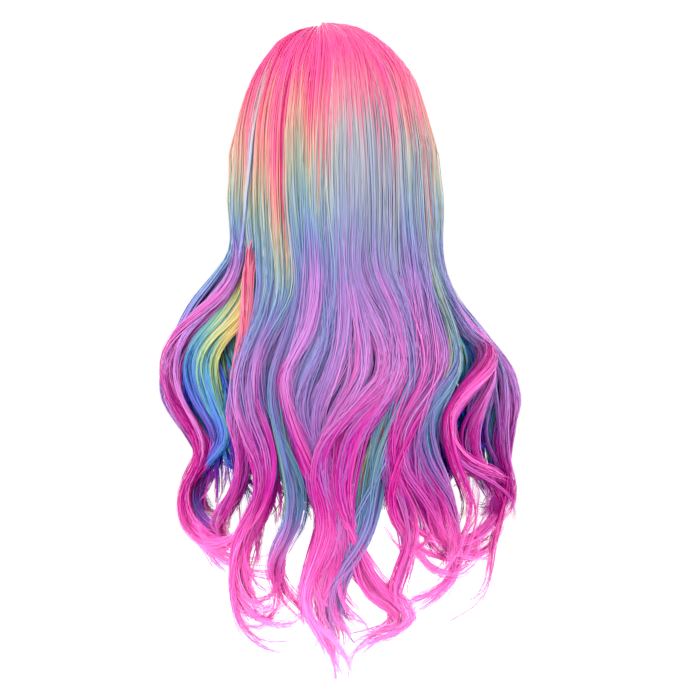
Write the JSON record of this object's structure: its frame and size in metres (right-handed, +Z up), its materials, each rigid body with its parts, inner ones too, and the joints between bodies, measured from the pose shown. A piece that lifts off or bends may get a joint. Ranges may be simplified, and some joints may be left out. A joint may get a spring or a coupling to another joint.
{
  "type": "costume wig",
  "caption": "Long wavy costume wig on a net cap, parted on top, fading from pink through pastel green and blue to lilac with hot pink curled tips.",
  "frame": {"origin": "middle of the head cavity, at the level of the brow where the head is widest", "axes": "+Z up through the crown, the face opening looks along -Y, +X is the wearer's left"},
  "size_m": [0.354, 0.2268, 0.658],
  "materials": {
    "hair": "glossy heat-resistant fibre, colour changes along its length",
    "cap_net": "open stretch net",
    "edge_tape": "folded stretch tape, stitched",
    "soft_lining": "short velour pile",
    "stay_plastic": "flexible strip",
    "parting_skin": "skin-toned mesh",
    "woven_tab": "satin weave, blank",
    "weft_stitching": "zigzag-stitched weft head",
    "elastic": "ribbed elastic",
    "hook_metal": "black coated"
  },
  "bodies": {
    "cap": {"crown_panel": "cap_net", "back_panel": "cap_net", "side_panel_left": "cap_net", "side_panel_right": "cap_net", "front_band": "edge_tape", "nape_band": "edge_tape", "ear_binding_left": "edge_tape", "ear_binding_right": "edge_tape", "parting_lining": "soft_lining", "parting_patch": "parting_skin", "size_tab": "woven_tab", "weft_track_01": "weft_stitching", "weft_track_02": "weft_stitching", "weft_track_03": "weft_stitching", "weft_track_04": "weft_stitching", "weft_track_05": "weft_stitching", "weft_track_06": "weft_stitching", "weft_track_07": "weft_stitching", "weft_track_08": "weft_stitching", "face_weft_left": "weft_stitching", "face_weft_right": "weft_stitching", "crown_ring": "weft_stitching", "strap_anchor_left": "elastic", "strap_anchor_right": "elastic", "loop_tape_left": "elastic", "loop_tape_right": "elastic", "strap_loops_left": "elastic", "strap_loops_right": "elastic", "weft_hair_01": "hair", "weft_hair_02": "hair", "weft_hair_03": "hair", "weft_hair_04": "hair", "weft_hair_05": "hair", "weft_hair_06": "hair", "weft_hair_07": "hair", "weft_hair_08": "hair", "crown_hair_back_left": "hair", "crown_hair_back_right": "hair", "crown_hair_side_left": "hair", "crown_hair_side_right": "hair", "crown_hair_front_left": "hair", "crown_hair_front_right": "hair", "crown_swirl": "hair", "face_lock_left": "hair", "face_lock_right": "hair"},
    "left_tab": {"ear_tab_left": "cap_net", "ear_tab_stay_left": "stay_plastic", "ear_tab_lining_left": "soft_lining"},
    "left_strap": {"strap_fold_left": "elastic", "strap_webbing_left": "elastic"},
    "left_hook": {"strap_hook_left": "hook_metal"},
    "right_tab": {"ear_tab_right": "cap_net", "ear_tab_stay_right": "stay_plastic", "ear_tab_lining_right": "soft_lining"},
    "right_strap": {"strap_fold_right": "elastic", "strap_webbing_right": "elastic"},
    "right_hook": {"strap_hook_right": "hook_metal"}
  },
  "joints": [
    {"name": "left_tab_swing", "type": "hinge", "parent": "cap", "child": "left_tab", "pos_m": [0.07131, -0.03087, -0.01366], "axis": [0.2582, 0.9661, 0], "range_deg": [0, 25]},
    {"name": "left_strap_swing", "type": "hinge", "parent": "cap", "child": "left_strap", "pos_m": [0.0542, 0.0398, -0.048], "axis": [0, 0, 1], "range_deg": [0, 70]},
    {"name": "left_strap_stretch", "type": "slide", "parent": "left_strap", "child": "left_hook", "axis": [-0.816, 0.578, 0], "range_m": [0, 0.01], "stiffness_N_per_m": 30, "deforming": ["strap_webbing_left"]},
    {"name": "right_tab_swing", "type": "hinge", "parent": "cap", "child": "right_tab", "pos_m": [-0.07131, -0.03087, -0.01366], "axis": [0.2582, -0.9661, 0], "range_deg": [0, 25]},
    {"name": "right_strap_swing", "type": "hinge", "parent": "cap", "child": "right_strap", "pos_m": [-0.0542, 0.0398, -0.048], "axis": [0, 0, -1], "range_deg": [0, 70]},
    {"name": "right_strap_stretch", "type": "slide", "parent": "right_strap", "child": "right_hook", "axis": [0.816, 0.578, 0], "range_m": [0, 0.01], "stiffness_N_per_m": 30, "deforming": ["strap_webbing_right"]}
  ]
}
